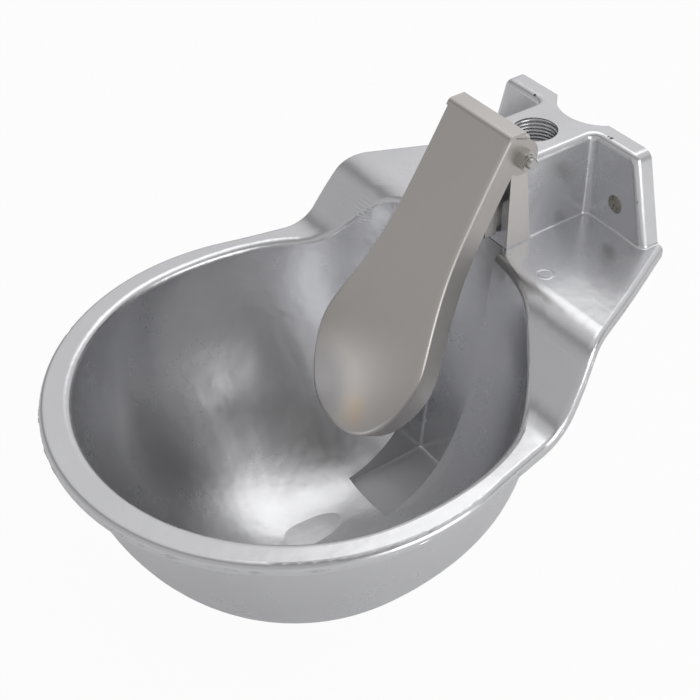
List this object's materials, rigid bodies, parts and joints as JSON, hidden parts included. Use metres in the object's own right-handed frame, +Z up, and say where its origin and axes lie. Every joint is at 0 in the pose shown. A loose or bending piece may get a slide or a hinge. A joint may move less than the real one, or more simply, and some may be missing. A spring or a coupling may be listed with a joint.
{
  "type": "livestock drinking bowl",
  "caption": "Wall or pipe mounted livestock drinking bowl: cast bowl with raised back deck, threaded inlet boss and a hinged tongue that opens the water valve.",
  "frame": {"origin": "midway between the two wall bolts, on the wall face", "axes": "+Y into the wall, -Y out to the front of the bowl, +Z up, +X to the right as seen from the front"},
  "size_m": [0.2256, 0.2788, 0.2091],
  "materials": {
    "cast_aluminium": "tumbled casting, semi-gloss",
    "stainless_sheet": "brushed stainless sheet",
    "stainless_fastener": "turned stainless",
    "nylon": "nylon",
    "brass": "turned brass",
    "fibre_washer": "fibre",
    "rubber": "moulded rubber",
    "spring_steel": "drawn wire",
    "cage_plastic": "moulded plastic"
  },
  "bodies": {
    "bowl": {"bowl_casting": "cast_aluminium", "hinge_bolt": "stainless_fastener", "hinge_nut": "stainless_fastener", "hinge_nut_insert": "nylon", "valve_body": "brass", "valve_washer": "fibre_washer", "stem_guide": "brass", "spring_cage": "cage_plastic", "return_spring": "spring_steel"},
    "tongue": {"tongue": "stainless_sheet"},
    "stem": {"valve_stem": "stainless_fastener", "seat_rubber": "rubber", "backing_washer": "brass", "seal_nut": "brass"}
  },
  "joints": [
    {"name": "tongue_hinge", "type": "hinge", "parent": "bowl", "child": "tongue", "pos_m": [0, -0.055, 0.0345], "axis": [1, 0, 0], "range_deg": [0, 4.4]},
    {"name": "valve_slide", "type": "slide", "parent": "bowl", "child": "stem", "axis": [0, 1, 0], "range_m": [0, 0.0039], "stiffness_N_per_m": 700, "springref_m": -0.008, "deforming": ["return_spring"]}
  ],
  "couplings": [
    {"joint": "valve_slide", "follows": "tongue_hinge", "m_per_rad": 0.0495}
  ]
}
